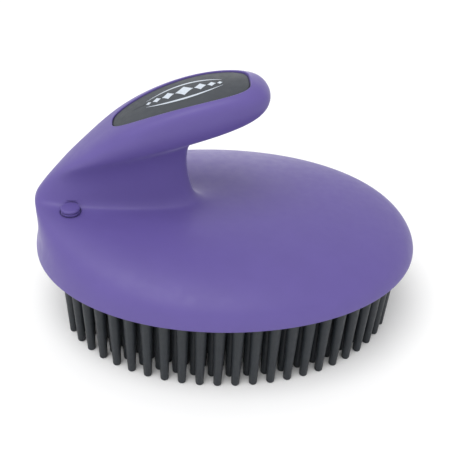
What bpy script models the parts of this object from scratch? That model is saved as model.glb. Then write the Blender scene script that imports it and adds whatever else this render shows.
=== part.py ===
"""Hand-held curry comb: a domed oval head with a cantilevered grip, over a rubber pad of moulded pins.

Metres, +Z up.  The origin is on the ground under the middle of the head: the comb stands on its pin tips.
+X points from the root of the handle to the free tip of the grip.
The comb is symmetrical about the XZ plane, apart from where single pins fall along their rings.
Every solid is modelled in millimetres and scaled by MM.
"""

import math

import bmesh
import bpy
from mathutils import Vector
from mathutils.bvhtree import BVHTree

MM = 0.001

# Head: a superellipse in plan, and the rim that the pins hang under.
HEAD_HALF_LENGTH = 70.0
HEAD_HALF_WIDTH = 54.5
HEAD_SQUARENESS = 2.06
RIM_Z = 29.2
LIP_Z = 30.6
SHELL_WALL = 2.4
DOME_FULLNESS = 2.3
DOME_STEPS = (0.03, 0.09, 0.2, 0.4, 0.7)
WAIST_DEPTH = 1.4

# Cage of the shell: each ring runs from the back of the comb to its front in this many steps.
RING_STEPS = 12
SHELL_SUBDIVISIONS = 1

# Roof of the hollow under the dome: share of the inner outline, and height.
ROOF_RINGS = ((0.4, 39.0), (0.72, 37.2), (0.9, 34.6), (1.0, 32.8), (1.0, 31.4))

# Rings of the handle, from the foot on the dome up to the edge of the grip's crown:
# back (x, z), front (x, z), height halfway, half width, and roundness of the ends
# (1 is an ellipse, less is boxier).
HANDLE_RINGS = (
    ((-69.3, 47.4), (-8.0, 44.4), 45.3, 9.4, 0.70),
    ((-68.6, 49.6), (-11.6, 46.2), 46.6, 7.4, 0.66),
    ((-66.4, 52.6), (-13.8, 51.0), 49.8, 6.6, 0.62),
    ((-64.3, 55.2), (-15.3, 59.5), 56.2, 6.3, 0.60),
    ((-61.7, 57.9), (-15.2, 67.6), 62.2, 7.5, 0.60),
    ((-58.7, 61.0), (-10.8, 72.6), 66.8, 10.3, 0.60),
    ((-55.4, 64.1), (4.6, 77.2), 71.2, 12.9, 0.60),
    ((-51.6, 67.3), (11.8, 81.8), 77.0, 14.9, 0.60),
    ((-47.6, 70.7), (13.1, 86.6), 82.6, 15.0, 0.60),
    ((-44.4, 73.2), (11.3, 89.7), 85.8, 14.3, 0.60),
    ((-41.7, 75.3), (7.9, 91.3), 86.9, 11.9, 0.62),
)
CROWN_RISE = 1.6

# Leaf-shaped pocket in the crown of the grip, with the soft panel and its carrier in it.
LEAF_BACK_X = -40.5
LEAF_FRONT_X = 5.1
LEAF_HALF_WIDTH = 11.4
LEAF_LEAN = 1.33
LEAF_FULLNESS = 0.25
POCKET_DEPTH = 4.0
PANEL_THICKNESS = 2.2
PANEL_DROP = 0.6
CARRIER_THICKNESS = 1.2
PEG_RADIUS = 1.5
PEG_LENGTH = 5.0
PEG_XS = (-29.0, -7.0)

# Push-in caps over the two long screws at the root of the handle.
CAP_X = -55.9
CAP_Y = 9.6
CAP_RADIUS = 3.3
CAP_TOP_Z = 48.8
CAP_GROOVE_DEPTH = 0.35
CAP_SEAT_RADIUS = 3.7
CAP_SEAT_Z = 46.0
CAP_SEAT_ROOF = 49.8
SCREW_BORE_RADIUS = 3.0
SCREW_BORE_Z = 40.5
SCREW_HEAD_RADIUS = 2.7
SCREW_HEAD_HEIGHT = 2.2
SCREW_RADIUS = 1.5
CLEARANCE = 0.3

# Rubber pad, and the plate that carries it.
PAD_FACE_Z = 29.0
PAD_TOP_Z = 31.1
PLATE_BOTTOM_Z = 31.5
PLATE_TOP_Z = 34.5
PLATE_INSET = 14.0
TAB_TOP_Z = 33.6
TAB_RADIUS = 4.6
BOSS_RADIUS = 4.0
BOSS_BOTTOM_Z = 34.9
BOSS_ROOF_Z = 39.0
PILOT_TOP_Z = 38.2
BASE_SCREW_SINK = 1.8
BASE_SCREWS = (("front", 42.0, 0.0), ("near", -4.0, -32.0), ("far", -4.0, 32.0))
PLUG_RADIUS = 2.5
PLUG_HEAD_RADIUS = 3.6
PLUG_HEAD_HEIGHT = 1.2
PLUGS = ((20.0, -28.0), (20.0, 28.0), (-28.0, -28.0), (-28.0, 28.0), (8.0, 0.0), (-22.0, 0.0))

# Pins: rings of them follow an oval with blunt ends, a little further from the rim at the handle's end.
# Each ring: distance in from the first ring, and spacing along the ring.
PIN_FIELD_HALF_LENGTH = 62.6
PIN_FIELD_HALF_WIDTH = 48.7
PIN_FIELD_BLUNT_END = 58.6
PIN_FIELD_X = 0.6
PIN_RINGS = (
    (0.0, 6.2),
    (4.3, 6.2),
    (8.6, 6.2),
    (15.6, 8.2),
    (22.8, 8.4),
    (30.0, 8.4),
    (37.2, 8.4),
    (44.2, 9.0),
)
PIN_PHASE = 0.95
PIN_BASE_RADIUS = 2.1
PIN_TIP_RADIUS = 1.4
PIN_SIDES = 6

PURPLE = (0.147, 0.118, 0.345)
PANEL_GREY = (0.112, 0.120, 0.130)
RUBBER_SLATE = (0.032, 0.037, 0.042)
PLATE_BLACK = (0.020, 0.021, 0.023)
ZINC = (0.62, 0.62, 0.60)


def clear_scene():
    for obj in list(bpy.data.objects):
        bpy.data.objects.remove(obj, do_unlink=True)


def material(name, colour, roughness, metallic=0.0):
    made = bpy.data.materials.new(name)
    made.use_nodes = True
    shader = made.node_tree.nodes["Principled BSDF"]
    shader.inputs["Base Color"].default_value = (*colour, 1.0)
    shader.inputs["Roughness"].default_value = roughness
    shader.inputs["Metallic"].default_value = metallic
    return made


def object_from(mesh_builder, name, surface=None):
    """A new object from a bmesh in millimetres."""
    bmesh.ops.scale(mesh_builder, vec=(MM, MM, MM), verts=mesh_builder.verts)
    bmesh.ops.recalc_face_normals(mesh_builder, faces=mesh_builder.faces)
    mesh = bpy.data.meshes.new(name)
    mesh_builder.to_mesh(mesh)
    mesh_builder.free()
    mesh.shade_smooth()
    mesh.set_sharp_from_angle(angle=math.radians(40))
    obj = bpy.data.objects.new(name, mesh)
    bpy.context.scene.collection.objects.link(obj)
    if surface:
        mesh.materials.append(surface)
    return obj


def as_cutter(obj):
    obj.hide_render = True
    obj.display_type = "WIRE"
    return obj


def boolean(obj, other, operation="DIFFERENCE"):
    modifier = obj.modifiers.new(f"{operation.lower()} {other.name}", "BOOLEAN")
    modifier.operation = operation
    modifier.solver = "EXACT"
    modifier.object = as_cutter(other)


def smoothing_loss():
    """How much larger a ring of the cage is than the smooth ring that Subdivision Surface makes of it."""
    return 3.0 / (2.0 + math.cos(math.pi / RING_STEPS))


def outline_point(turn, half_length=HEAD_HALF_LENGTH, half_width=HEAD_HALF_WIDTH):
    """A point of the head's outline.  turn runs from 0 at the handle's end, over pi at the front, to 2 pi."""
    power = 2.0 / HEAD_SQUARENESS
    cosine = math.cos(turn)
    sine = math.sin(turn)
    x = -math.copysign(abs(cosine) ** power, cosine) * half_length
    y = math.copysign(abs(sine) ** power, sine) * half_width
    return x, y


def ring_turns():
    return [math.pi * step / RING_STEPS for step in range(RING_STEPS + 1)]


def parabola(back, middle, front, along):
    """The height at a share along, through three heights."""
    return back + (front - back) * along + (4 * middle - 2 * back - 2 * front) * along * (1 - along)


def outline_ring(height, inset=0.0, share=1.0):
    half_length = (HEAD_HALF_LENGTH - inset) * share * smoothing_loss()
    half_width = (HEAD_HALF_WIDTH - inset) * share * smoothing_loss()
    return [(*outline_point(turn, half_length, half_width), height) for turn in ring_turns()]


def handle_ring(back, front, middle_z, half_width, roundness):
    ring = []
    for turn in ring_turns():
        along = (1 - math.cos(turn)) / 2
        x = back[0] + (front[0] - back[0]) * along
        y = half_width * abs(math.sin(turn)) ** roundness
        ring.append((x, 0.0 if y < 1e-6 else y, parabola(back[1], middle_z, front[1], along)))
    return ring


def dome_ring(step, foot):
    """A ring of the dome, a share of the way in from the lip to the handle's foot."""
    rise = math.sqrt(1 - (1 - step) ** DOME_FULLNESS)
    waist = WAIST_DEPTH * 4 * rise * (1 - rise)
    ring = []
    for turn, (x, y, z), (foot_x, foot_y, foot_z) in zip(ring_turns(), outline_ring(LIP_Z), foot):
        pulled_in = waist * max(0.0, math.cos(turn)) ** 4
        ring.append((x + (foot_x - x) * step + pulled_in, y + (foot_y - y) * step, z + (foot_z - z) * rise))
    return ring


def shell_rings():
    """All rings of the shell's cage, from the middle of the hollow's roof, round the rim, to the crown."""
    rings = [outline_ring(z, SHELL_WALL, share) for share, z in ROOF_RINGS]
    rings.append(outline_ring(RIM_Z, SHELL_WALL))
    rings.append(outline_ring(RIM_Z))
    rings.append(outline_ring(LIP_Z))
    handle = [handle_ring(*ring) for ring in HANDLE_RINGS]
    rings += [dome_ring(step, handle[0]) for step in DOME_STEPS]
    return rings + handle


def close_ring(builder, ring, rise):
    """Fills the half disc inside a ring with quads, along a middle column of points."""
    last = len(ring) - 1
    middle = {0: ring[0], last: ring[last]}
    for step in range(2, last - 1):
        x, _, z = ring[step].co
        middle[step] = builder.verts.new((x, 0.0, z + rise * math.sin(math.pi * step / last)))
    builder.faces.new((ring[0], ring[1], ring[2], middle[2]))
    for step in range(2, last - 2):
        builder.faces.new((middle[step], ring[step], ring[step + 1], middle[step + 1]))
    builder.faces.new((middle[last - 2], ring[last - 2], ring[last - 1], ring[last]))


def shell_cage():
    """The half of the shell with y over 0."""
    builder = bmesh.new()
    rings = [[builder.verts.new(point) for point in ring] for ring in shell_rings()]
    for lower, upper in zip(rings, rings[1:]):
        for step in range(RING_STEPS):
            builder.faces.new((lower[step], lower[step + 1], upper[step + 1], upper[step]))
    close_ring(builder, rings[0], 0.0)
    close_ring(builder, rings[-1], CROWN_RISE)
    crease = builder.edges.layers.float.new("crease_edge")
    rim = len(ROOF_RINGS)
    for ring in rings[rim : rim + 2]:
        for first, second in zip(ring, ring[1:]):
            builder.edges.get((first, second))[crease] = 0.8
    return builder


def solid_shell(name, surface=None):
    """The shell before anything is cut from it."""
    shell = object_from(shell_cage(), name, surface)
    mirror = shell.modifiers.new("both sides", "MIRROR")
    mirror.use_axis = (False, True, False)
    mirror.merge_threshold = 0.0001
    smooth = shell.modifiers.new("smooth", "SUBSURF")
    smooth.levels = SHELL_SUBDIVISIONS
    smooth.render_levels = SHELL_SUBDIVISIONS
    return shell


def cylinder(name, x, y, radius, bottom, top, surface=None, sides=24):
    return turned(name, x, y, ((radius, bottom), (radius, top)), surface, sides)


def turned(name, x, y, profile, surface=None, sides=24):
    """A solid of revolution about a vertical axis: (radius, z) from the bottom face to the top face."""
    builder = bmesh.new()
    loops = []
    for radius, z in profile:
        loop = []
        for side in range(sides):
            turn = 2 * math.pi * side / sides
            loop.append(builder.verts.new((x + radius * math.cos(turn), y + radius * math.sin(turn), z)))
        loops.append(loop)
    for lower, upper in zip(loops, loops[1:]):
        for side in range(sides):
            after = (side + 1) % sides
            builder.faces.new((lower[side], lower[after], upper[after], upper[side]))
    builder.faces.new(loops[0])
    builder.faces.new(loops[-1])
    return object_from(builder, name, surface)


class Crown:
    """Heights of the shell's top, read by rays from above before anything is cut from it."""

    def __init__(self):
        shell = solid_shell("uncut_shell")
        bpy.context.view_layer.update()
        self.tree = BVHTree.FromObject(shell, bpy.context.evaluated_depsgraph_get())
        bpy.data.objects.remove(shell, do_unlink=True)

    def height(self, x, y):
        above = Vector((x * MM, y * MM, 2 * HEAD_HALF_LENGTH * MM))
        return self.tree.ray_cast(above, Vector((0.0, 0.0, -1.0)))[0].z / MM


def leaf_half_width(share, inset):
    """Half the leaf's width a share of the way from its narrow back to its round front."""
    fullness = math.sin(math.pi * share**LEAF_LEAN) if share < 1 else 0.0
    return max(0.0, (LEAF_HALF_WIDTH - inset) * fullness**LEAF_FULLNESS)


def leaf_slab(name, crown, inset, low, high, surface=None, rows=22, columns=6):
    """A leaf-shaped solid between two depths measured from the crown."""
    builder = bmesh.new()
    faces = {"low": [], "high": []}
    for row in range(rows + 1):
        share = (1 - math.cos(math.pi * row / rows)) / 2
        x = LEAF_BACK_X + inset + (LEAF_FRONT_X - LEAF_BACK_X - 2 * inset) * share
        half = leaf_half_width(share, inset)
        count = columns if 0 < row < rows else 0
        for side, depth in (("low", low), ("high", high)):
            line = []
            for column in range(count + 1):
                y = half * (2 * column / columns - 1) if count else 0.0
                line.append(builder.verts.new((x, y, crown.height(x, y) + depth)))
            faces[side].append(line)
    for lines in faces.values():
        for first, second in zip(lines, lines[1:]):
            bridge(builder, first, second)
    for low_line, high_line, low_next, high_next in zip(
        faces["low"], faces["high"], faces["low"][1:], faces["high"][1:]
    ):
        for end in (0, -1):
            builder.faces.new((low_line[end], low_next[end], high_next[end], high_line[end]))
    return object_from(builder, name, surface)


def bridge(builder, first, second):
    """Faces between two lines of points, one of which may be a single point."""
    steps = max(len(first), len(second)) - 1
    for step in range(steps):
        corners = []
        for line, places in ((first, (step, step + 1)), (second, (step + 1, step))):
            for place in places:
                corner = line[min(place, len(line) - 1)]
                if corner not in corners:
                    corners.append(corner)
        builder.faces.new(corners)


def oval_slab(name, inset, bottom, top, surface, sides=48):
    builder = bmesh.new()
    size = (HEAD_HALF_LENGTH - inset, HEAD_HALF_WIDTH - inset)
    outline = [outline_point(2 * math.pi * side / sides, *size) for side in range(sides)]
    loops = [[builder.verts.new((x, y, z)) for x, y in outline] for z in (bottom, top)]
    for side in range(sides):
        after = (side + 1) % sides
        builder.faces.new((loops[0][side], loops[0][after], loops[1][after], loops[1][side]))
    builder.faces.new(loops[0])
    builder.faces.new(loops[1])
    return object_from(builder, name, surface)


def pin_places(inset, spacing, phase):
    """Evenly spaced points on a ring of the pin field."""
    fine = 720
    size = (PIN_FIELD_HALF_LENGTH - inset, PIN_FIELD_HALF_WIDTH - inset)
    end = PIN_FIELD_BLUNT_END - inset
    points = [outline_point(2 * math.pi * step / fine, *size) for step in range(fine + 1)]
    points = [(max(-end, min(end, x)), y) for x, y in points]
    lengths = [0.0]
    for first, second in zip(points, points[1:]):
        lengths.append(lengths[-1] + math.dist(first, second))
    count = round(lengths[-1] / spacing)
    places = []
    step = 0
    for number in range(count):
        target = lengths[-1] * (number + phase) / count
        while lengths[step + 1] < target:
            step += 1
        share = (target - lengths[step]) / (lengths[step + 1] - lengths[step])
        (x, y), (next_x, next_y) = points[step], points[step + 1]
        places.append((PIN_FIELD_X + x + (next_x - x) * share, y + (next_y - y) * share))
    return places


def add_pin(builder, x, y):
    """One tapered pin, sunk into the pad at its root."""
    root_z = (PAD_FACE_Z + PAD_TOP_Z) / 2
    loops = []
    for radius, z in ((PIN_TIP_RADIUS, 0.0), (PIN_BASE_RADIUS, root_z)):
        loop = []
        for side in range(PIN_SIDES):
            turn = 2 * math.pi * side / PIN_SIDES
            loop.append(builder.verts.new((x + radius * math.cos(turn), y + radius * math.sin(turn), z)))
        loops.append(loop)
    for side in range(PIN_SIDES):
        after = (side + 1) % PIN_SIDES
        builder.faces.new((loops[0][side], loops[0][after], loops[1][after], loops[1][side]))
    builder.faces.new(loops[0])
    builder.faces.new(loops[1])


def pins():
    builder = bmesh.new()
    for number, (inset, spacing) in enumerate(PIN_RINGS):
        for x, y in pin_places(inset, spacing, (PIN_PHASE + 0.5 * number) % 1.0):
            add_pin(builder, x, y)
    return object_from(builder, "pins")


def make_head_shell(crown, surface):
    shell = solid_shell("head_shell", surface)
    boolean(shell, leaf_slab("pocket", crown, 0.0, -POCKET_DEPTH, 6.0))
    for x in PEG_XS:
        top = crown.height(x, 0.0) - POCKET_DEPTH + 1.0
        bottom = top - PEG_LENGTH - 2.0
        boolean(shell, cylinder(f"peg_hole_{x:.0f}", x, 0.0, PEG_RADIUS + CLEARANCE, bottom, top, sides=16))
    for side, y in (("near", -CAP_Y), ("far", CAP_Y)):
        seat = cylinder(f"{side}_cap_seat", CAP_X, y, CAP_SEAT_RADIUS, CAP_SEAT_Z, CAP_SEAT_ROOF)
        boolean(shell, seat)
        bore = ((SCREW_RADIUS + CLEARANCE, 33.0), (SCREW_RADIUS + CLEARANCE, SCREW_BORE_Z))
        bore += ((SCREW_BORE_RADIUS, SCREW_BORE_Z), (SCREW_BORE_RADIUS, CAP_SEAT_Z + 1.0))
        boolean(shell, turned(f"{side}_screw_bore", CAP_X, y, bore, sides=16))
    for name, x, y in BASE_SCREWS:
        boss = cylinder(f"{name}_boss", x, y, BOSS_RADIUS, BOSS_BOTTOM_Z, BOSS_ROOF_Z, sides=16)
        boolean(shell, boss, "UNION")
        boolean(shell, cylinder(f"{name}_pilot", x, y, SCREW_RADIUS + CLEARANCE, 30.0, PILOT_TOP_Z, sides=12))
    return shell


def make_grip_inlay(crown, surface):
    return leaf_slab("grip_inlay", crown, CLEARANCE, -PANEL_THICKNESS, -PANEL_DROP, surface)


def make_inlay_carrier(crown, surface):
    top = -PANEL_THICKNESS - CLEARANCE
    carrier = leaf_slab("inlay_carrier", crown, 2 * CLEARANCE, top - CARRIER_THICKNESS, top, surface)
    for x in PEG_XS:
        peg_top = crown.height(x, 0.0) + top - CARRIER_THICKNESS / 2
        peg = cylinder(f"peg_{x:.0f}", x, 0.0, PEG_RADIUS, peg_top - PEG_LENGTH, peg_top, sides=16)
        boolean(carrier, peg, "UNION")
    return carrier


def make_screw_cap(name, y, surface):
    """A disc with a grooved edge, on a plug that fills the mouth of the screw's bore."""
    plug = SCREW_BORE_RADIUS - CLEARANCE
    groove = CAP_RADIUS - CAP_GROOVE_DEPTH
    seat = CAP_SEAT_Z + CLEARANCE
    return turned(
        name,
        CAP_X,
        y,
        (
            (plug - 0.3, seat - 2.4),
            (plug, seat - 2.0),
            (plug, seat),
            (CAP_RADIUS, seat),
            (CAP_RADIUS, seat + 0.7),
            (groove, seat + 0.9),
            (groove, seat + 1.2),
            (CAP_RADIUS, seat + 1.4),
            (CAP_RADIUS, CAP_TOP_Z - 0.3),
            (CAP_RADIUS - 0.4, CAP_TOP_Z),
        ),
        surface,
        sides=20,
    )


def make_cap_screw(name, y, surface):
    head = SCREW_BORE_Z + CLEARANCE
    top = head + SCREW_HEAD_HEIGHT
    profile = (
        (0.5, PLATE_BOTTOM_Z + 0.4),
        (SCREW_RADIUS, PLATE_BOTTOM_Z + 1.4),
        (SCREW_RADIUS, head),
        (SCREW_HEAD_RADIUS, head),
        (SCREW_HEAD_RADIUS, top - 0.6),
        (SCREW_HEAD_RADIUS - 0.8, top),
    )
    screw = turned(name, CAP_X, y, profile, surface, sides=16)
    for number in range(2):
        slot = cross_slot(f"{name}_slot_{number}", CAP_X, y, top, number)
        boolean(screw, slot)
    return screw


def cross_slot(name, x, y, z, turned_over, depth=1.0):
    """One bar of a cross recess, cut down from z, or up from it when depth is negative."""
    builder = bmesh.new()
    bmesh.ops.create_cube(builder, size=1.0)
    size = (0.8, 3.2, 2 * abs(depth)) if turned_over else (3.2, 0.8, 2 * abs(depth))
    bmesh.ops.scale(builder, vec=size, verts=builder.verts)
    bmesh.ops.translate(builder, vec=(x, y, z), verts=builder.verts)
    return object_from(builder, name)


def make_base_plate(surface):
    plate = oval_slab("base_plate", PLATE_INSET, PLATE_BOTTOM_Z, PLATE_TOP_Z, surface)
    for side, y in (("near", -CAP_Y), ("far", CAP_Y)):
        tab = cylinder(f"{side}_tab", CAP_X, y, TAB_RADIUS, PLATE_BOTTOM_Z, TAB_TOP_Z, sides=20)
        boolean(plate, tab, "UNION")
        boolean(plate, cylinder(f"{side}_tab_hole", CAP_X, y, SCREW_RADIUS + CLEARANCE, 30.0, 40.0, sides=16))
    for name, x, y in BASE_SCREWS:
        head_room = SCREW_HEAD_RADIUS + CLEARANCE
        bore = SCREW_RADIUS + CLEARANCE
        step_z = PLATE_BOTTOM_Z + BASE_SCREW_SINK
        profile = ((head_room, 30.0), (head_room, step_z), (bore, step_z), (bore, 40.0))
        boolean(plate, turned(f"{name}_screw_hole", x, y, profile, sides=16))
    for number, (x, y) in enumerate(PLUGS):
        boolean(plate, cylinder(f"plug_hole_{number}", x, y, PLUG_RADIUS + CLEARANCE, 30.0, 40.0, sides=16))
    return plate


def make_base_screw(name, x, y, surface):
    head_top = PLATE_BOTTOM_Z + BASE_SCREW_SINK - CLEARANCE
    profile = (
        (SCREW_HEAD_RADIUS - 0.6, PLATE_BOTTOM_Z + 0.1),
        (SCREW_HEAD_RADIUS, PLATE_BOTTOM_Z + 0.6),
        (SCREW_HEAD_RADIUS, head_top),
        (SCREW_RADIUS, head_top),
        (SCREW_RADIUS, PILOT_TOP_Z - 1.4),
        (0.5, PILOT_TOP_Z - CLEARANCE),
    )
    screw = turned(name, x, y, profile, surface, sides=16)
    for number in range(2):
        boolean(screw, cross_slot(f"{name}_slot_{number}", x, y, PLATE_BOTTOM_Z + 0.1, number, 0.7))
    return screw


def make_pin_pad(surface):
    """The pad, with its pins below and the mushroom plugs that hold it to the plate above."""
    pad = oval_slab("pin_pad", SHELL_WALL + 0.4, PAD_FACE_Z, PAD_TOP_Z, surface)
    boolean(pad, pins(), "UNION")
    for number, (x, y) in enumerate(PLUGS):
        neck_top = PLATE_TOP_Z + CLEARANCE
        profile = (
            (PLUG_RADIUS, PAD_TOP_Z - 0.8),
            (PLUG_RADIUS, neck_top),
            (PLUG_HEAD_RADIUS, neck_top),
            (PLUG_RADIUS - 0.6, neck_top + PLUG_HEAD_HEIGHT),
        )
        boolean(pad, turned(f"plug_{number}", x, y, profile, sides=12), "UNION")
    return pad


def main():
    clear_scene()
    purple = material("soft_touch_purple", PURPLE, 0.45)
    grey = material("soft_touch_grey", PANEL_GREY, 0.55)
    rubber = material("slate_rubber", RUBBER_SLATE, 0.5)
    black = material("black_plastic", PLATE_BLACK, 0.6)
    zinc = material("zinc_plated_steel", ZINC, 0.3, 1.0)
    crown = Crown()
    make_head_shell(crown, purple)
    make_grip_inlay(crown, grey)
    make_inlay_carrier(crown, black)
    for side, y in (("near", -CAP_Y), ("far", CAP_Y)):
        make_screw_cap(f"{side}_screw_cap", y, purple)
        make_cap_screw(f"{side}_cap_screw", y, zinc)
    make_base_plate(black)
    for side, x, y in BASE_SCREWS:
        make_base_screw(f"{side}_base_screw", x, y, zinc)
    make_pin_pad(rubber)


main()
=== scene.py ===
"""Looks of the hand-held curry comb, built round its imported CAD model.

The frame is in metres: +X from the root of the handle to the tip of the grip, +Z up, the pin tips on z = 0.
Shapes are worked out in millimetres, and scaled by MM when they become meshes.
"""

import math

import bmesh
import bpy
from mathutils import Matrix, Vector
from mathutils.bvhtree import BVHTree


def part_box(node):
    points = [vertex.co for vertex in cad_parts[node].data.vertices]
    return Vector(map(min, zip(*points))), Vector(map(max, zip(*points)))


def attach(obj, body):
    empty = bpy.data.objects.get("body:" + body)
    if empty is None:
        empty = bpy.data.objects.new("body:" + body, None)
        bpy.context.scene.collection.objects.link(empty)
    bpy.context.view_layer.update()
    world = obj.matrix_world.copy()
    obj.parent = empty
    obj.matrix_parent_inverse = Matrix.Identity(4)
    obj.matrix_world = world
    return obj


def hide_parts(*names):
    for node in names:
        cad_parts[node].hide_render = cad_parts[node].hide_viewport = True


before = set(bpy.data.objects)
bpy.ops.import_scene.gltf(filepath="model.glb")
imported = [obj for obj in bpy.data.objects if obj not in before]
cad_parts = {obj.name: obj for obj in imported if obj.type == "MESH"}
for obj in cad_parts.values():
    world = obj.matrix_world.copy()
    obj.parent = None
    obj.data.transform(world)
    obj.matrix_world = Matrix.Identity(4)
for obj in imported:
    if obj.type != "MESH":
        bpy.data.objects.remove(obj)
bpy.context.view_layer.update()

MM = 0.001
BODY = "root"

# In millimetres: a width that counts as none, and a height above everything, from which rays start.
NEGLIGIBLE = 1e-6
RAY_START_Z = 200.0

# Edges that turn by more than this many degrees are shaded sharp.
SHARP_DEGREES = 40
CAP_SHARP_DEGREES = 50
PANEL_SHARP_DEGREES = 60

# Head: a superellipse in plan, a domed top and a rounded rim.
HEAD_SQUARENESS = 2.06
SHELL_WALL = 2.4
LIP_RISE = 1.4
RIM_CREASE = 0.8
DOME_FULLNESS = 2.3
DOME_STEPS = (0.03, 0.09, 0.2, 0.4, 0.7)
WAIST_DEPTH = 1.4
WAIST_NARROWNESS = 4
RING_STEPS = 12
SHELL_SUBDIVISIONS = 3
MIRROR_MERGE = 0.0001

# Roof of the hollow under the dome: share of the inner outline, and height.
ROOF_RINGS = ((0.4, 39.0), (0.72, 37.2), (0.9, 34.6), (1.0, 32.8), (1.0, 31.4))

# Rings of the handle, from the foot on the dome up to the edge of the grip's crown:
# back (x, z), front (x, z), height halfway, half width, and roundness of the ends
# (1 is an ellipse, less is boxier).
HANDLE_RINGS = (
    ((-69.3, 47.4), (-8.0, 44.4), 45.3, 9.4, 0.70),
    ((-68.6, 49.6), (-11.6, 46.2), 46.6, 7.4, 0.66),
    ((-66.4, 52.6), (-13.8, 51.0), 49.8, 6.6, 0.62),
    ((-64.3, 55.2), (-15.3, 59.5), 56.2, 6.3, 0.60),
    ((-61.7, 57.9), (-15.2, 67.6), 62.2, 7.5, 0.60),
    ((-58.7, 61.0), (-10.8, 72.6), 66.8, 10.3, 0.60),
    ((-55.4, 64.1), (4.6, 77.2), 71.2, 12.9, 0.60),
    ((-51.6, 67.3), (11.8, 81.8), 77.0, 14.9, 0.60),
    ((-47.6, 70.7), (13.1, 86.6), 82.6, 15.0, 0.60),
    ((-44.4, 73.2), (11.3, 89.7), 85.8, 14.3, 0.60),
    ((-41.7, 75.3), (7.9, 91.3), 86.9, 11.9, 0.62),
)
CROWN_RISE = 1.6

# Leaf-shaped pocket in the crown of the grip, and the soft panel in it.
LEAF_BACK_X = -40.5
LEAF_FRONT_X = 5.1
LEAF_HALF_WIDTH = 11.4
LEAF_LEAN = 1.33
LEAF_FULLNESS = 0.25
LEAF_POINTS = 120
POCKET_DEPTH = 4.0
PANEL_GAP = 0.22
PANEL_THICKNESS = 2.2
PANEL_DROP = 0.6
PANEL_EDGE_ROUND = 0.45

# Rings of the panel's face: distances in from its outline over the rounded edge, then shares of the way
# from there to the spine, a line along its middle that stops short of both ends.
PANEL_EDGE_STEPS = (0.0, 0.04, 0.12, 0.25, PANEL_EDGE_ROUND)
PANEL_FACE_SHARES = (0.1, 0.25, 0.4, 0.55, 0.7, 0.85, 0.97)
SPINE_BACK_INSET = 7.0
SPINE_FRONT_INSET = 9.0

# Print on the panel: a row of lozenges between two bowed lines.
# Each lozenge: distance from the middle one, half length, half width.
PRINT_LIFT = 0.03
PRINT_HAIR = 0.04
PRINT_COLUMNS = 6
INK_THICKNESS = 0.03
PRINT_CENTRE = (-16.5, -0.4)
LOZENGES = ((0.0, 3.0, 3.1), (5.3, 2.0, 2.2), (9.0, 1.4, 1.5), (11.7, 0.9, 0.9))
LOZENGE_CURVE = 1.25
LOZENGE_STEPS = 24
BOWED_LINE_REACH = 12.5
BOWED_LINE_Y = 5.2
BOWED_LINE_SAG = 3.2
BOWED_LINE_HALF = 0.42
BOWED_LINE_STEPS = 48

# Caps at the root of the handle, as steps in from the cap's radius with heights: the foot of the plug,
# measured from its end, and the flange with its groove, measured from the flange's underside.
CAP_PLUG_FOOT = ((1.0, 0.0), (0.6, 0.5))
CAP_FLANGE_EDGE = (
    (0.6, -0.1),
    (0.5, 0.0),
    (0.15, 0.0),
    (0.0, 0.15),
    (0.0, 0.65),
    (0.55, 0.8),
    (0.65, 1.0),
    (0.55, 1.2),
    (0.0, 1.35),
)
CAP_FLANGE = 2.5
CAP_EDGE_ROUND = 0.55
CAP_CROWN = 0.25
CAP_CROWN_SHARES = (0.75, 0.5, 0.25, 0.05)
CAP_SIDES = 56

# Seats of the caps.
SEAT_RADIUS = 3.6
SEAT_CLEARANCE = 0.3
SEAT_HEADROOM = 0.2
SEAT_POINTS = 64

# Edge of a cut: offset out from the cut's outline, and height above the surface that it cuts.
POCKET_MOUTH = ((0.0, -0.5), (0.05, -0.26), (0.16, -0.1), (0.36, 0.0), (0.8, 0.1))
SEAT_MOUTH = ((0.0, -0.3), (0.04, -0.14), (0.12, -0.04), (0.3, 0.06))

# Pad: how far its face lies below the rim, and its edge as distances in from its outline with heights
# over the face.
PAD_DROP = 0.2
PAD_EDGE = ((0.3, 2.1), (0.0, 1.8), (0.0, 0.4), (0.12, 0.12), (0.4, 0.0))
PAD_SIDES = 160

# Pins: rings of them follow an oval with blunt ends.
# Each ring: distance in from the first ring, and spacing along the ring.
PIN_FIELD_HALF_LENGTH = 62.6
PIN_FIELD_HALF_WIDTH = 48.7
PIN_FIELD_BLUNT_END = 58.6
PIN_FIELD_X = 0.6
PIN_RINGS = (
    (0.0, 6.2),
    (4.3, 6.2),
    (8.6, 6.2),
    (15.6, 8.2),
    (22.8, 8.4),
    (30.0, 8.4),
    (37.2, 8.4),
    (44.2, 9.0),
)
PIN_PHASE = 0.95
PIN_PATH_STEPS = 720
PIN_BASE_RADIUS = 2.3
PIN_TIP_RADIUS = 1.42
PIN_TIP_ROUND = 0.5
PIN_TIP_FLAT_STEP = 0.3
PIN_FLARE = 0.1
PIN_FLARE_HEIGHT = 0.3
PIN_SINK = 0.8
PIN_SIDES = 16

# Camera, in millimetres and unit vectors, and its lens for the standard 36 mm sensor.
CAMERA_PLACE = (-27.144, -223.353, 189.076)
CAMERA_FORWARD = (0.095804, 0.815541, -0.570714)
CAMERA_RIGHT = (0.995161, -0.091038, 0.036963)
CAMERA_LENS = 58.56
CAMERA_CLIP_START_M = 0.01

# Studio. Places, targets and sizes of the lights are in metres.
FLOOR_HALF_SIDE = 3000.0
FLOOR_DROP = 0.05
WALLS_BRIGHTNESS = 1.15
CEILING_BRIGHTNESS = 0.62
KEY_LIGHT = {"place": (-0.22, -0.3, 0.95), "target": (0.0, 0.0, 0.05), "size": 0.8, "power": 6.0}
BACK_LIGHT = {"place": (0.12, 1.4, 0.22), "target": (0.0, 0.0, 0.04), "size": 0.6, "power": 2.3}

# Noise keeps mostly between these two values.
NOISE_LOW = 0.3
NOISE_HIGH = 0.7


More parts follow.
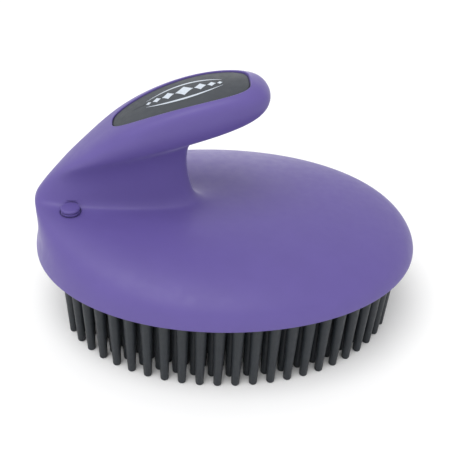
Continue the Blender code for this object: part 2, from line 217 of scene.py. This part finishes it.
def corner_mm(name, which):
    """A corner of a CAD node's box, in millimetres: which is 0 for the lowest and 1 for the highest."""
    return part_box(name)[which] / MM


HEAD_LOW, HEAD_HIGH = corner_mm("head_shell", 0), corner_mm("head_shell", 1)
HEAD_HALF_LENGTH = (HEAD_HIGH.x - HEAD_LOW.x) / 2
HEAD_HALF_WIDTH = (HEAD_HIGH.y - HEAD_LOW.y) / 2
RIM_Z = HEAD_LOW.z
LIP_Z = RIM_Z + LIP_RISE


# ---------------------------------------------------------------- meshes


def object_from(builder, name, surface=None, sharp_degrees=SHARP_DEGREES):
    """A new object from a bmesh in millimetres, shaded smooth but for its sharp edges."""
    bmesh.ops.scale(builder, vec=(MM, MM, MM), verts=builder.verts)
    bmesh.ops.recalc_face_normals(builder, faces=builder.faces)
    mesh = bpy.data.meshes.new(name)
    builder.to_mesh(mesh)
    builder.free()
    mesh.shade_smooth()
    mesh.set_sharp_from_angle(angle=math.radians(sharp_degrees))
    obj = bpy.data.objects.new(name, mesh)
    bpy.context.scene.collection.objects.link(obj)
    if surface:
        mesh.materials.append(surface)
    return obj


def finished(obj):
    """obj with its modifiers applied to its mesh."""
    bpy.context.view_layer.update()
    graph = bpy.context.evaluated_depsgraph_get()
    mesh = bpy.data.meshes.new_from_object(obj.evaluated_get(graph), depsgraph=graph)
    obj.modifiers.clear()
    obj.data = mesh
    mesh.shade_smooth()
    mesh.set_sharp_from_angle(angle=math.radians(SHARP_DEGREES))
    return obj


def combine(obj, other, operation):
    """A Boolean on obj, applied at once, after which other is gone."""
    modifier = obj.modifiers.new(operation, "BOOLEAN")
    modifier.operation = operation
    modifier.solver = "MANIFOLD"
    modifier.object = other
    finished(obj)
    bpy.data.objects.remove(other, do_unlink=True)


def join_rings(builder, rings):
    """Skins closed rings of points with quads and closes both ends."""
    loops = [[builder.verts.new(point) for point in ring] for ring in rings]
    count = len(loops[0])
    for lower, upper in zip(loops, loops[1:]):
        for side in range(count):
            after = (side + 1) % count
            builder.faces.new((lower[side], lower[after], upper[after], upper[side]))
    builder.faces.new(loops[0])
    builder.faces.new(loops[-1])


def settle(obj):
    """Fixes a visible piece to the comb's only body."""
    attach(obj, BODY)


def circle(x, y, radius, sides):
    """(x, y) points round a centre."""
    turns = [2 * math.pi * side / sides for side in range(sides)]
    return [(x + radius * math.cos(turn), y + radius * math.sin(turn)) for turn in turns]


def turned_rings(x, y, profile, sides):
    """Rings of a solid of revolution about a vertical axis, from (radius, z) pairs."""
    return [[(px, py, z) for px, py in circle(x, y, radius, sides)] for radius, z in profile]


def fillet(corner_radius, corner_z, size, first_turn, steps=4):
    """(radius, z) points of a quarter round of that size about a centre, from first_turn over 90 degrees."""
    points = []
    for step in range(steps + 1):
        turn = math.radians(first_turn + 90 * step / steps)
        points.append((corner_radius + size * math.cos(turn), corner_z + size * math.sin(turn)))
    return points


# ---------------------------------------------------------------- shell


def smoothing_loss():
    """How many times larger a ring of the cage is than the smooth ring made of it."""
    return 3.0 / (2.0 + math.cos(math.pi / RING_STEPS))


def outline_point(turn, half_length, half_width):
    """A point of the head's outline.  turn runs from 0 at the handle's end, over pi at the front, to 2 pi."""
    power = 2.0 / HEAD_SQUARENESS
    cosine = math.cos(turn)
    sine = math.sin(turn)
    x = -math.copysign(abs(cosine) ** power, cosine) * half_length
    y = math.copysign(abs(sine) ** power, sine) * half_width
    return x, y


def ring_turns():
    """The turns of half a ring, from the handle's end to the front."""
    return [math.pi * step / RING_STEPS for step in range(RING_STEPS + 1)]


def parabola(back, middle, front, along):
    """The height at a share along, through three heights."""
    return back + (front - back) * along + (4 * middle - 2 * back - 2 * front) * along * (1 - along)


def outline_ring(height, inset=0.0, share=1.0):
    """Half a ring of the cage that follows the head's outline, moved in by inset and then scaled by share."""
    half_length = (HEAD_HALF_LENGTH - inset) * share * smoothing_loss()
    half_width = (HEAD_HALF_WIDTH - inset) * share * smoothing_loss()
    return [(*outline_point(turn, half_length, half_width), height) for turn in ring_turns()]


def handle_ring(back, front, middle_z, half_width, roundness):
    """Half a ring of the handle's cage, from one row of HANDLE_RINGS."""
    ring = []
    for turn in ring_turns():
        along = (1 - math.cos(turn)) / 2
        x = back[0] + (front[0] - back[0]) * along
        y = half_width * abs(math.sin(turn)) ** roundness
        ring.append((x, 0.0 if y < NEGLIGIBLE else y, parabola(back[1], middle_z, front[1], along)))
    return ring


def dome_ring(step, foot):
    """A ring of the dome, a share of the way in from the lip to the handle's foot.

    Under the handle's end the dome is drawn in to a waist, deepest at half its height.
    """
    rise = math.sqrt(1 - (1 - step) ** DOME_FULLNESS)
    waist = WAIST_DEPTH * 4 * rise * (1 - rise)
    ring = []
    for turn, (x, y, z), (foot_x, foot_y, foot_z) in zip(ring_turns(), outline_ring(LIP_Z), foot):
        pulled_in = waist * max(0.0, math.cos(turn)) ** WAIST_NARROWNESS
        across = x + (foot_x - x) * step + pulled_in
        ring.append((across, y + (foot_y - y) * step, z + (foot_z - z) * rise))
    return ring


def shell_rings():
    """All rings of the shell's cage, from the middle of the hollow's roof, round the rim, to the crown."""
    rings = [outline_ring(z, SHELL_WALL, share) for share, z in ROOF_RINGS]
    rings.append(outline_ring(RIM_Z, SHELL_WALL))
    rings.append(outline_ring(RIM_Z))
    rings.append(outline_ring(LIP_Z))
    handle = [handle_ring(*ring) for ring in HANDLE_RINGS]
    rings += [dome_ring(step, handle[0]) for step in DOME_STEPS]
    return rings + handle


def close_ring(builder, ring, rise):
    """Fills the half disc inside a ring with quads, along a middle column of points."""
    last = len(ring) - 1
    middle = {0: ring[0], last: ring[last]}
    for step in range(2, last - 1):
        x, _, z = ring[step].co
        middle[step] = builder.verts.new((x, 0.0, z + rise * math.sin(math.pi * step / last)))
    builder.faces.new((ring[0], ring[1], ring[2], middle[2]))
    for step in range(2, last - 2):
        builder.faces.new((middle[step], ring[step], ring[step + 1], middle[step + 1]))
    builder.faces.new((middle[last - 2], ring[last - 2], ring[last - 1], ring[last]))


def shell_cage():
    """The half of the shell with y over 0."""
    builder = bmesh.new()
    rings = [[builder.verts.new(point) for point in ring] for ring in shell_rings()]
    for lower, upper in zip(rings, rings[1:]):
        for step in range(RING_STEPS):
            builder.faces.new((lower[step], lower[step + 1], upper[step + 1], upper[step]))
    close_ring(builder, rings[0], 0.0)
    close_ring(builder, rings[-1], CROWN_RISE)
    crease = builder.edges.layers.float.new("crease_edge")
    rim = len(ROOF_RINGS)
    for ring in rings[rim : rim + 2]:
        for first, second in zip(ring, ring[1:]):
            builder.edges.get((first, second))[crease] = RIM_CREASE
    return builder


def solid_shell(name, surface):
    """The shell before anything is cut from it."""
    shell = object_from(shell_cage(), name, surface)
    mirror = shell.modifiers.new("both sides", "MIRROR")
    mirror.use_axis = (False, True, False)
    mirror.merge_threshold = MIRROR_MERGE
    smooth = shell.modifiers.new("smooth", "SUBSURF")
    smooth.levels = SHELL_SUBDIVISIONS
    smooth.render_levels = SHELL_SUBDIVISIONS
    return finished(shell)


class Surface:
    """Heights of the uncut shell, read by rays from above, in millimetres."""

    def __init__(self, obj):
        mesh = obj.data
        points = [vertex.co / MM for vertex in mesh.vertices]
        self.tree = BVHTree.FromPolygons(points, [tuple(face.vertices) for face in mesh.polygons])

    def height(self, x, y):
        return self.tree.ray_cast(Vector((x, y, RAY_START_Z)), Vector((0.0, 0.0, -1.0)))[0].z


def leaf_half_width(share, inset):
    """Half the leaf's width a share of the way from its narrow back to its round front."""
    fullness = math.sin(math.pi * share**LEAF_LEAN) if 0 < share < 1 else 0.0
    return max(0.0, (LEAF_HALF_WIDTH - inset) * fullness**LEAF_FULLNESS)


def leaf_outline(inset=0.0):
    """The leaf's outline, going round from its back tip along the near side."""
    outline = []
    for number in range(LEAF_POINTS):
        turn = 2 * math.pi * number / LEAF_POINTS
        share = (1 - math.cos(turn)) / 2
        x = LEAF_BACK_X + inset + (LEAF_FRONT_X - LEAF_BACK_X - 2 * inset) * share
        side = -1 if turn < math.pi else 1
        outline.append((x, side * leaf_half_width(share, inset)))
    return outline


def widened(outline, offset):
    """A closed outline moved out by offset, square to itself."""
    moved = []
    count = len(outline)
    for number, (x, y) in enumerate(outline):
        before = outline[number - 1]
        after = outline[(number + 1) % count]
        along = Vector((after[0] - before[0], after[1] - before[1])).normalized()
        moved.append((x + offset * along.y, y - offset * along.x))
    return moved


def mouth_cutter(name, outline, mouth, surface_z, floor_z, roof_z):
    """A cutter from floor_z(x, y) to roof_z(x, y), whose mouth rounds the edge where it meets the surface."""
    rings = [[(x, y, floor_z(x, y)) for x, y in outline]]
    for offset, above in mouth:
        wider = widened(outline, offset)
        rings.append([(x, y, surface_z(x, y) + above) for x, y in wider])
    rings.append([(x, y, roof_z(x, y)) for x, y, _ in rings[-1]])
    builder = bmesh.new()
    join_rings(builder, rings)
    return object_from(builder, name)


def make_head_shell(surface):
    """The fine shell, with the panel's pocket and the caps' seats cut in it.

    Returns its surface before the cuts.
    """
    shell = solid_shell("head_shell_fine", surface)
    skin = Surface(shell)

    def pocket_floor(x, y):
        return skin.height(x, y) - POCKET_DEPTH

    def above_grip(x, y):
        return skin.height(x, y) + 2 * POCKET_DEPTH

    pocket = mouth_cutter("pocket", leaf_outline(), POCKET_MOUTH, skin.height, pocket_floor, above_grip)
    combine(shell, pocket, "DIFFERENCE")
    for side in ("near", "far"):
        low, high = corner_mm(f"{side}_screw_cap", 0), corner_mm(f"{side}_screw_cap", 1)
        middle = (low + high) / 2
        outline = circle(middle.x, middle.y, SEAT_RADIUS, SEAT_POINTS)
        seat = seat_cutter(f"{side}_seat", outline, skin, high.z)
        combine(shell, seat, "DIFFERENCE")
    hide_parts("head_shell")
    settle(shell)
    return skin


def seat_cutter(name, outline, skin, cap_top_z):
    """A cap's seat: it stops just above the cap, so that it only notches the foot of the web."""
    floor_z = cap_top_z - CAP_FLANGE - SEAT_CLEARANCE
    roof_z = cap_top_z + SEAT_HEADROOM

    def surface_z(x, y):
        return min(skin.height(x, y), cap_top_z)

    def level(z):
        return lambda x, y: z

    return mouth_cutter(name, outline, SEAT_MOUTH, surface_z, level(floor_z), level(roof_z))


# ---------------------------------------------------------------- caps


def cap_profile(low, high):
    """(radius, z) of a cap from the foot of its plug to the middle of its slightly crowned top."""
    radius = (high.x - low.x) / 2
    seat = high.z - CAP_FLANGE
    rim_top = high.z - CAP_CROWN
    face_radius = radius - CAP_EDGE_ROUND
    profile = [(radius - step_in, low.z + rise) for step_in, rise in CAP_PLUG_FOOT]
    profile += [(radius - step_in, seat + rise) for step_in, rise in CAP_FLANGE_EDGE]
    profile += fillet(face_radius, rim_top - CAP_EDGE_ROUND, CAP_EDGE_ROUND, 0)
    for share in CAP_CROWN_SHARES:
        profile.append((face_radius * share, rim_top + CAP_CROWN * (1 - share**2)))
    return profile


def make_cap(side, surface):
    """A fine cap that fills the box of the CAD one."""
    low, high = corner_mm(f"{side}_screw_cap", 0), corner_mm(f"{side}_screw_cap", 1)
    middle = (low + high) / 2
    builder = bmesh.new()
    join_rings(builder, turned_rings(middle.x, middle.y, cap_profile(low, high), CAP_SIDES))
    cap = object_from(builder, f"{side}_screw_cap_fine", surface, CAP_SHARP_DEGREES)
    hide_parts(f"{side}_screw_cap")
    settle(cap)


# ---------------------------------------------------------------- panel and print


def toward_spine(x, y, share):
    """A point moved a share of the way from the leaf's outline to its spine."""
    spine_back = LEAF_BACK_X + SPINE_BACK_INSET
    spine_front = LEAF_FRONT_X - SPINE_FRONT_INSET
    spine_x = max(spine_back, min(spine_front, x))
    return x + (spine_x - x) * share, y * (1 - share)


def edge_drop(distance, size):
    """How far a rounded edge lies below its face, at a distance in from the edge."""
    if distance >= size:
        return 0.0
    return size - math.sqrt(size**2 - (size - distance) ** 2)


def make_panel(surface, skin):
    """The soft panel: its face follows the crown, and its edge is rounded over."""
    outline = leaf_outline(PANEL_GAP)
    rings = [[(x, y, skin.height(x, y) - PANEL_THICKNESS) for x, y in outline]]
    for distance in PANEL_EDGE_STEPS:
        line = widened(outline, -distance)
        depth = PANEL_DROP + edge_drop(distance, PANEL_EDGE_ROUND)
        rings.append([(x, y, skin.height(x, y) - depth) for x, y in line])
    inner = widened(outline, -PANEL_EDGE_ROUND)
    for share in PANEL_FACE_SHARES:
        line = [toward_spine(x, y, share) for x, y in inner]
        rings.append([(x, y, skin.height(x, y) - PANEL_DROP) for x, y in line])
    builder = bmesh.new()
    join_rings(builder, rings)
    panel = object_from(builder, "grip_inlay_fine", surface, PANEL_SHARP_DEGREES)
    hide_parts("grip_inlay")
    settle(panel)


def strip(builder, left, right, skin):
    """A ribbon between two lines of (x, y) points, laid on the panel."""
    lines = []
    for step in range(PRINT_COLUMNS + 1):
        share = step / PRINT_COLUMNS
        line = []
        for (x1, y1), (x2, y2) in zip(left, right):
            x = x1 + (x2 - x1) * share
            y = y1 + (y2 - y1) * share
            line.append(builder.verts.new((x, y, skin.height(x, y) - PANEL_DROP + PRINT_LIFT)))
        lines.append(line)
    for first, second in zip(lines, lines[1:]):
        for number in range(len(left) - 1):
            builder.faces.new((first[number], first[number + 1], second[number + 1], second[number]))


def lozenge(builder, centre, half_length, half_width, skin):
    """A lozenge with sides that curve in."""
    shares = [2 * step / LOZENGE_STEPS - 1 for step in range(LOZENGE_STEPS + 1)]
    half = [half_width * (1 - abs(share)) ** LOZENGE_CURVE + PRINT_HAIR for share in shares]
    xs = [centre[0] + half_length * share for share in shares]
    upper = [(x, centre[1] + h) for x, h in zip(xs, half)]
    lower = [(x, centre[1] - h) for x, h in zip(xs, half)]
    strip(builder, upper, lower, skin)


def make_print(surface, skin):
    """A row of lozenges, largest in the middle, between two bowed lines that taper to their ends."""
    middle_x, middle_y = PRINT_CENTRE
    builder = bmesh.new()
    for place, half_length, half_width in LOZENGES:
        for side in (1, -1) if place else (1,):
            centre = (middle_x + side * place, middle_y)
            lozenge(builder, centre, half_length, half_width, skin)
    shares = [2 * step / BOWED_LINE_STEPS - 1 for step in range(BOWED_LINE_STEPS + 1)]
    for side in (-1, 1):
        outer, inner = [], []
        for share in shares:
            x = middle_x + BOWED_LINE_REACH * share
            y = middle_y + side * (BOWED_LINE_Y - BOWED_LINE_SAG * share**2)
            half = BOWED_LINE_HALF * (1 - share**2) + PRINT_HAIR
            outer.append((x, y + half))
            inner.append((x, y - half))
        strip(builder, outer, inner, skin)
    motif = object_from(builder, "grip_print", surface)
    thick = motif.modifiers.new("ink", "SOLIDIFY")
    thick.thickness = INK_THICKNESS * MM
    thick.offset = 0.0
    finished(motif)
    settle(motif)


# ---------------------------------------------------------------- pad and pins


def pin_places(inset, spacing, phase):
    """Evenly spaced points on a ring of the pin field."""
    size = (PIN_FIELD_HALF_LENGTH - inset, PIN_FIELD_HALF_WIDTH - inset)
    end = PIN_FIELD_BLUNT_END - inset
    turns = [2 * math.pi * step / PIN_PATH_STEPS for step in range(PIN_PATH_STEPS + 1)]
    points = [outline_point(turn, *size) for turn in turns]
    points = [(max(-end, min(end, x)), y) for x, y in points]
    lengths = [0.0]
    for first, second in zip(points, points[1:]):
        lengths.append(lengths[-1] + math.dist(first, second))
    count = round(lengths[-1] / spacing)
    places = []
    step = 0
    for number in range(count):
        target = lengths[-1] * (number + phase) / count
        while lengths[step + 1] < target:
            step += 1
        share = (target - lengths[step]) / (lengths[step + 1] - lengths[step])
        (x, y), (next_x, next_y) = points[step], points[step + 1]
        places.append((PIN_FIELD_X + x + (next_x - x) * share, y + (next_y - y) * share))
    return places


def pin_profile(face_z):
    """(radius, z) of a pin, from its rounded tip up into the pad."""
    flat_radius = PIN_TIP_RADIUS - PIN_TIP_ROUND
    tip = fillet(flat_radius, PIN_TIP_ROUND, PIN_TIP_ROUND, -90)
    root_radius = PIN_BASE_RADIUS + PIN_FLARE
    root = [(PIN_BASE_RADIUS, face_z - PIN_FLARE_HEIGHT)]
    root += [(root_radius, face_z), (root_radius, face_z + PIN_SINK)]
    return [(flat_radius - PIN_TIP_FLAT_STEP, 0.0)] + tip + root


def make_pin_pad(surface):
    """The rubber pad with all its pins, in one piece."""
    low, high = corner_mm("pin_pad", 0), corner_mm("pin_pad", 1)
    half_length = (high.x - low.x) / 2
    half_width = (high.y - low.y) / 2
    face_z = RIM_Z - PAD_DROP
    turns = [2 * math.pi * side / PAD_SIDES for side in range(PAD_SIDES)]
    rings = []
    for inset, rise in PAD_EDGE:
        size = (half_length - inset, half_width - inset)
        rings.append([(*outline_point(turn, *size), face_z + rise) for turn in turns])
    builder = bmesh.new()
    join_rings(builder, rings)
    pad = object_from(builder, "pin_pad_fine", surface)
    builder = bmesh.new()
    for number, (inset, spacing) in enumerate(PIN_RINGS):
        for x, y in pin_places(inset, spacing, (PIN_PHASE + 0.5 * number) % 1.0):
            join_rings(builder, turned_rings(x, y, pin_profile(face_z), PIN_SIDES))
    combine(pad, object_from(builder, "pins"), "UNION")
    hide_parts("pin_pad")
    settle(pad)


# ---------------------------------------------------------------- materials


class Finish:
    """A Principled material, and the nodes that vary its colour, roughness and relief over the surface."""

    def __init__(self, name, colour, roughness, metallic=0.0):
        self.material = bpy.data.materials.new(name)
        self.material.use_nodes = True
        self.tree = self.material.node_tree
        self.shader = self.tree.nodes["Principled BSDF"]
        self.shader.inputs["Base Color"].default_value = (*colour, 1.0)
        self.shader.inputs["Roughness"].default_value = roughness
        self.shader.inputs["Metallic"].default_value = metallic
        self.place = self.tree.nodes.new("ShaderNodeTexCoord").outputs["Object"]
        self.colour = colour
        self.roughness = roughness

    def noise(self, size_mm, detail=2.0):
        """Noise whose spots are about size_mm across."""
        texture = self.tree.nodes.new("ShaderNodeTexNoise")
        texture.inputs["Scale"].default_value = 1.0 / (size_mm * MM)
        texture.inputs["Detail"].default_value = detail
        self.tree.links.new(self.place, texture.inputs["Vector"])
        return texture.outputs["Fac"]

    def ranged(self, value, low, high):
        """A noise value spread from low to high."""
        node = self.tree.nodes.new("ShaderNodeMapRange")
        node.inputs["From Min"].default_value = NOISE_LOW
        node.inputs["From Max"].default_value = NOISE_HIGH
        node.inputs["To Min"].default_value = low
        node.inputs["To Max"].default_value = high
        self.tree.links.new(value, node.inputs["Value"])
        return node.outputs["Result"]

    def vary_colour(self, size_mm, amount):
        """Brightness that drifts by a share of itself."""
        darker = [channel * (1 - amount) for channel in self.colour]
        lighter = [min(1.0, channel * (1 + amount)) for channel in self.colour]
        mix = self.tree.nodes.new("ShaderNodeMix")
        mix.data_type = "RGBA"
        mix.inputs["A"].default_value = (*darker, 1.0)
        mix.inputs["B"].default_value = (*lighter, 1.0)
        self.tree.links.new(self.ranged(self.noise(size_mm), 0.0, 1.0), mix.inputs["Factor"])
        self.tree.links.new(mix.outputs["Result"], self.shader.inputs["Base Color"])

    def vary_roughness(self, size_mm, amount):
        """Roughness that drifts by an amount each way."""
        rough = self.ranged(self.noise(size_mm), self.roughness - amount, self.roughness + amount)
        self.tree.links.new(rough, self.shader.inputs["Roughness"])

    def relief(self, *layers):
        """Bump layers: spot size and depth, both in millimetres."""
        normal = None
        for size_mm, depth_mm in layers:
            bump = self.tree.nodes.new("ShaderNodeBump")
            bump.inputs["Distance"].default_value = depth_mm * MM
            self.tree.links.new(self.noise(size_mm, detail=3.0), bump.inputs["Height"])
            if normal:
                self.tree.links.new(normal, bump.inputs["Normal"])
            normal = bump.outputs["Normal"]
        self.tree.links.new(normal, self.shader.inputs["Normal"])


def soft_touch_purple():
    finish = Finish("soft touch purple", (0.108, 0.079, 0.278), 0.49)
    finish.shader.inputs["IOR"].default_value = 1.38
    finish.shader.inputs["Sheen Weight"].default_value = 0.2
    finish.shader.inputs["Sheen Roughness"].default_value = 0.3
    finish.shader.inputs["Sheen Tint"].default_value = (0.85, 0.85, 1.0, 1.0)
    finish.vary_colour(size_mm=9.0, amount=0.02)
    finish.vary_roughness(size_mm=3.0, amount=0.05)
    finish.relief((0.35, 0.006), (2.5, 0.012))
    return finish.material


def soft_touch_grey():
    finish = Finish("soft touch grey", (0.038, 0.044, 0.053), 0.65)
    finish.vary_colour(size_mm=4.0, amount=0.05)
    finish.vary_roughness(size_mm=2.0, amount=0.06)
    finish.relief((0.4, 0.02))
    return finish.material


def silver_ink():
    finish = Finish("silver ink", (0.52, 0.57, 0.64), 0.42)
    finish.vary_colour(size_mm=0.6, amount=0.06)
    finish.vary_roughness(size_mm=0.5, amount=0.08)
    finish.relief((0.3, 0.006))
    return finish.material


def slate_rubber():
    finish = Finish("slate rubber", (0.018, 0.022, 0.027), 0.5)
    finish.shader.inputs["IOR"].default_value = 1.37
    finish.vary_colour(size_mm=3.0, amount=0.12)
    finish.vary_roughness(size_mm=1.5, amount=0.08)
    finish.relief((0.5, 0.015), (4.0, 0.02))
    return finish.material


def black_plastic():
    finish = Finish("black plastic", (0.020, 0.021, 0.023), 0.6)
    finish.vary_colour(size_mm=5.0, amount=0.1)
    finish.vary_roughness(size_mm=2.0, amount=0.08)
    finish.relief((0.3, 0.02))
    return finish.material


def zinc_plate():
    finish = Finish("zinc plate", (0.62, 0.62, 0.60), 0.3, 1.0)
    finish.vary_colour(size_mm=1.0, amount=0.06)
    finish.vary_roughness(size_mm=0.8, amount=0.08)
    finish.relief((0.3, 0.006))
    return finish.material


def pale_floor():
    finish = Finish("pale floor", (0.95, 0.95, 0.95), 0.9)
    finish.vary_colour(size_mm=60.0, amount=0.004)
    finish.vary_roughness(size_mm=40.0, amount=0.03)
    return finish.material


# ---------------------------------------------------------------- studio


def make_floor():
    builder = bmesh.new()
    bmesh.ops.create_grid(builder, x_segments=4, y_segments=4, size=FLOOR_HALF_SIDE)
    floor = object_from(builder, "floor", pale_floor())
    floor.location.z = -FLOOR_DROP * MM


def aim(obj, place, target):
    """Places obj, in metres, with its -Z axis toward a target."""
    obj.location = place
    obj.rotation_euler = (Vector(target) - Vector(place)).to_track_quat("-Z", "Y").to_euler()


def soft_box(name, place, target, size, power):
    """A round area light."""
    light = bpy.data.lights.new(name, "AREA")
    light.shape = "DISK"
    light.size = size
    light.energy = power
    lamp = bpy.data.objects.new(name, light)
    bpy.context.scene.collection.objects.link(lamp)
    aim(lamp, place, target)


def make_lights():
    """A white room that is brighter low down than overhead, with a key light and a weak light from behind."""
    world = bpy.data.worlds.new("studio")
    bpy.context.scene.world = world
    world.use_nodes = True
    tree = world.node_tree
    place = tree.nodes.new("ShaderNodeTexCoord")
    split = tree.nodes.new("ShaderNodeSeparateXYZ")
    fade = tree.nodes.new("ShaderNodeMapRange")
    fade.inputs["From Min"].default_value = 0.0
    fade.inputs["From Max"].default_value = 1.0
    fade.inputs["To Min"].default_value = WALLS_BRIGHTNESS
    fade.inputs["To Max"].default_value = CEILING_BRIGHTNESS
    tree.links.new(place.outputs["Generated"], split.inputs["Vector"])
    tree.links.new(split.outputs["Z"], fade.inputs["Value"])
    tree.links.new(fade.outputs["Result"], tree.nodes["Background"].inputs["Strength"])
    tree.nodes["Background"].inputs["Color"].default_value = (1.0, 1.0, 1.0, 1.0)
    soft_box("key", **KEY_LIGHT)
    soft_box("back light", **BACK_LIGHT)
    bpy.context.scene.view_settings.view_transform = "Standard"


def make_camera():
    """The camera, with its axes made square to one another."""
    forward = Vector(CAMERA_FORWARD).normalized()
    right = Vector(CAMERA_RIGHT)
    right = (right - forward * right.dot(forward)).normalized()
    up = right.cross(forward)
    turn = Matrix((right, up, -forward)).transposed().to_4x4()
    data = bpy.data.cameras.new("camera")
    data.lens = CAMERA_LENS
    data.clip_start = CAMERA_CLIP_START_M
    camera = bpy.data.objects.new("camera", data)
    camera.matrix_world = Matrix.Translation(Vector(CAMERA_PLACE) * MM) @ turn
    bpy.context.scene.collection.objects.link(camera)
    bpy.context.scene.camera = camera


def repaint(nodes, surface):
    """Gives carried-over CAD nodes their finish."""
    for name in nodes:
        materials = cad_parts[name].data.materials
        materials.clear()
        materials.append(surface)


def main():
    make_camera()
    make_lights()
    make_floor()
    purple = soft_touch_purple()
    skin = make_head_shell(purple)
    make_panel(soft_touch_grey(), skin)
    make_print(silver_ink(), skin)
    for side in ("near", "far"):
        make_cap(side, purple)
    make_pin_pad(slate_rubber())
    repaint(("base_plate", "inlay_carrier"), black_plastic())
    screws = [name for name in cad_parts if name.endswith("_screw")]
    repaint(screws, zinc_plate())


main()
